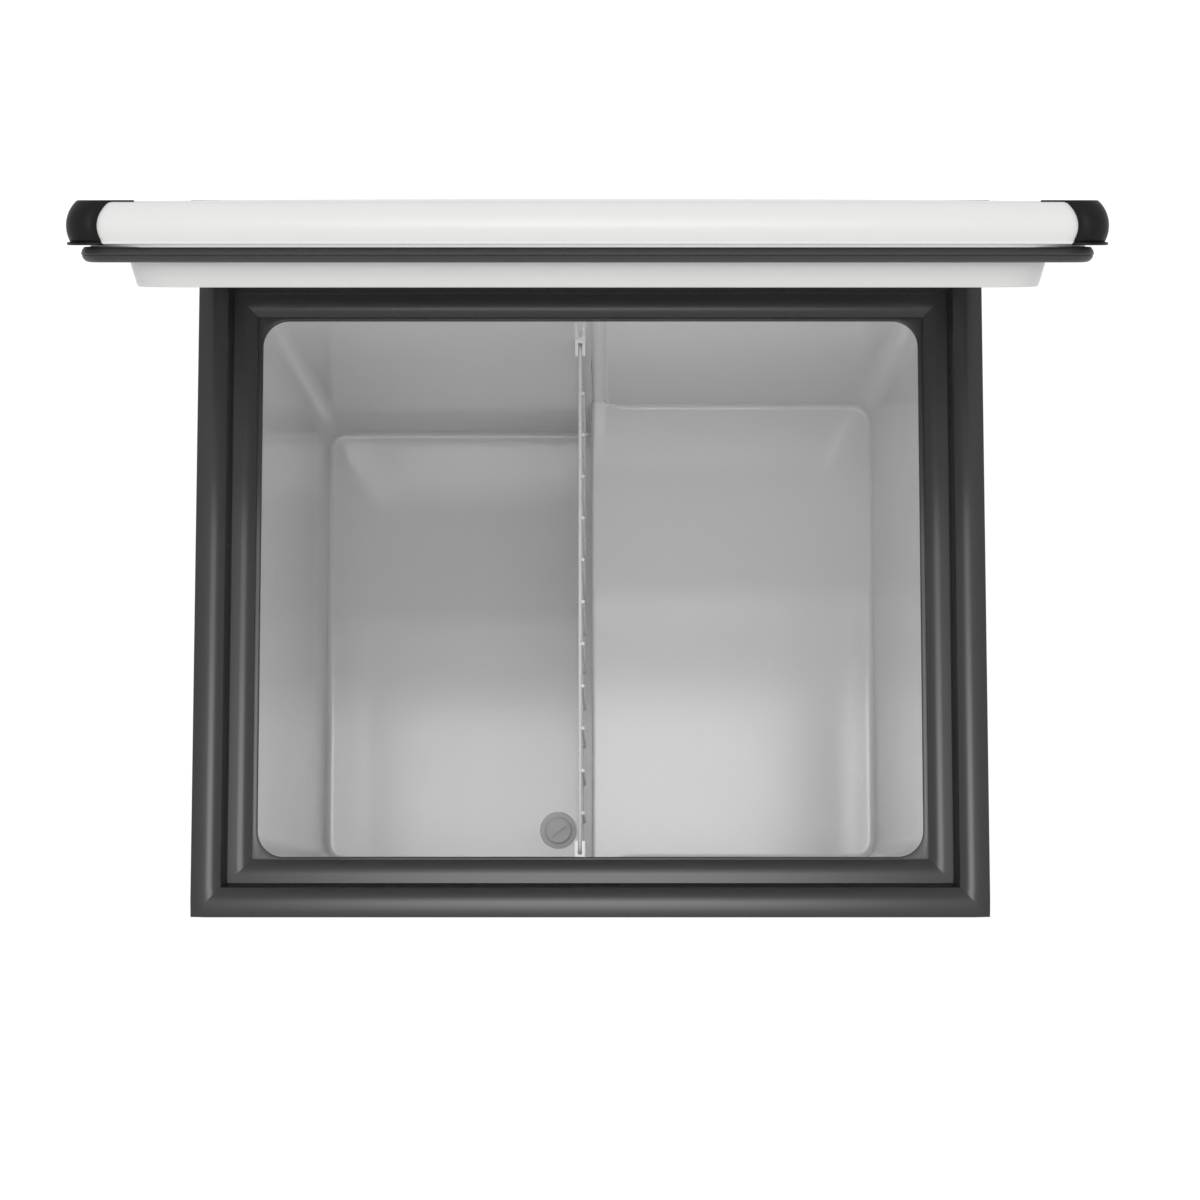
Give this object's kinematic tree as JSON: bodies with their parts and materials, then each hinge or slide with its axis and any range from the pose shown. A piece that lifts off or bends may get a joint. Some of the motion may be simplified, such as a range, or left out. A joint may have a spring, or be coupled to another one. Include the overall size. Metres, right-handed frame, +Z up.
{
  "type": "compressor cooler fridge",
  "caption": "Chest-type portable compressor fridge with a rear-hinged foam lid, stepped grey tub, lift-out wire divider and drain plug.",
  "frame": {"origin": "centre of the four tie-down holes, on the underside of the base tray; the feet reach 18 mm below", "axes": "+Z up, +Y to the hinge side at the back, +X to the right seen from the front"},
  "size_m": [0.624, 0.5416, 1.1313],
  "materials": {
    "charcoal_frame": "satin",
    "liner_grey": "satin",
    "white_steel": "gloss",
    "white_plastic": "satin",
    "black_plastic": "satin",
    "gasket_rubber": "matte",
    "black_rubber": "matte",
    "foam": "matte",
    "zinc_steel": "satin",
    "white_wire": "satin",
    "aluminium": "satin",
    "copper": "satin",
    "black_paint": "satin",
    "dark_window": "gloss",
    "board_green": "satin",
    "hinge_steel": "satin",
    "drain_grey": "satin"
  },
  "bodies": {
    "cabinet": {"top_frame": "charcoal_frame", "inner_liner": "liner_grey", "outer_wrapper": "white_steel", "bottom_tray": "zinc_steel", "insulation_foam": "foam", "evaporator_sleeve": "aluminium", "bay_wall": "zinc_steel", "feet": "black_rubber", "foot_screws": "zinc_steel", "base_guards": "black_plastic", "side_vent_grille": "black_plastic", "rear_vent_grille": "black_plastic", "vent_screws": "zinc_steel", "control_bezel": "black_plastic", "display_window": "dark_window", "panel_board": "board_green", "inlet_plate": "black_plastic", "mains_inlet": "black_plastic", "battery_inlet": "black_plastic", "fuse_cap": "black_plastic", "compressor_shell": "black_paint", "compressor_base": "black_paint", "compressor_grommets": "black_rubber", "compressor_bolts": "zinc_steel", "control_module": "aluminium", "condenser": "aluminium", "fan_shroud": "black_plastic", "filter_drier": "copper", "liquid_pipe": "copper", "discharge_pipe": "copper", "suction_pipe": "copper", "drain_seat": "drain_grey", "divider_clips": "liner_grey", "handle_bracket_left": "black_plastic", "handle_bracket_right": "black_plastic", "handle_rivets": "zinc_steel", "hinge_cabinet_leaf_left": "hinge_steel", "hinge_cabinet_leaf_right": "hinge_steel", "hinge_pins": "zinc_steel", "hinge_screws_cabinet": "zinc_steel"},
    "lid": {"lid_shell": "white_plastic", "lid_foam": "foam", "lid_inner_panel": "white_plastic", "lid_gasket": "gasket_rubber", "lid_cap_front_left": "black_plastic", "lid_cap_front_right": "black_plastic", "lid_cap_rear_left": "black_plastic", "lid_cap_rear_right": "black_plastic", "hinge_lid_leaf_left": "hinge_steel", "hinge_lid_leaf_right": "hinge_steel", "hinge_screws_lid": "zinc_steel"},
    "divider": {"wire_divider": "white_wire"},
    "drain_stopper": {"drain_plug": "drain_grey", "drain_plug_seal": "black_rubber"},
    "fan": {"fan_rotor": "black_plastic"},
    "power_key": {"button_power": "black_plastic"},
    "minus_key": {"button_minus": "black_plastic"},
    "plus_key": {"button_plus": "black_plastic"},
    "left_handle": {"carry_handle_left": "zinc_steel"},
    "right_handle": {"carry_handle_right": "zinc_steel"}
  },
  "joints": [
    {"name": "lid_hinge", "type": "hinge", "parent": "cabinet", "child": "lid", "pos_m": [0, 0.2668, 0.6006], "axis": [-1, 0, 0], "range_deg": [-76, 0]},
    {"name": "divider_lift", "type": "slide", "parent": "cabinet", "child": "divider", "axis": [0, 0, 1], "range_m": [0, 0.24]},
    {"name": "drain_plug_pull", "type": "slide", "parent": "cabinet", "child": "drain_stopper", "axis": [0, 0, 1], "range_m": [0, 0.12]},
    {"name": "fan_spin", "type": "hinge", "parent": "cabinet", "child": "fan", "pos_m": [0.17, -0.03, 0.08], "axis": [0, 1, 0], "continuous": true},
    {"name": "power_press", "type": "slide", "parent": "cabinet", "child": "power_key", "axis": [0, 1, 0], "range_m": [0, 0.0012], "stiffness_N_per_m": 600},
    {"name": "minus_press", "type": "slide", "parent": "cabinet", "child": "minus_key", "axis": [0, 1, 0], "range_m": [0, 0.0012], "stiffness_N_per_m": 600},
    {"name": "plus_press", "type": "slide", "parent": "cabinet", "child": "plus_key", "axis": [0, 1, 0], "range_m": [0, 0.0012], "stiffness_N_per_m": 600},
    {"name": "left_handle_swing", "type": "hinge", "parent": "cabinet", "child": "left_handle", "pos_m": [-0.3055, 0, 0.425], "axis": [0, 1, 0], "range_deg": [0, 90]},
    {"name": "right_handle_swing", "type": "hinge", "parent": "cabinet", "child": "right_handle", "pos_m": [0.3055, 0, 0.425], "axis": [0, -1, 0], "range_deg": [0, 90]}
  ]
}
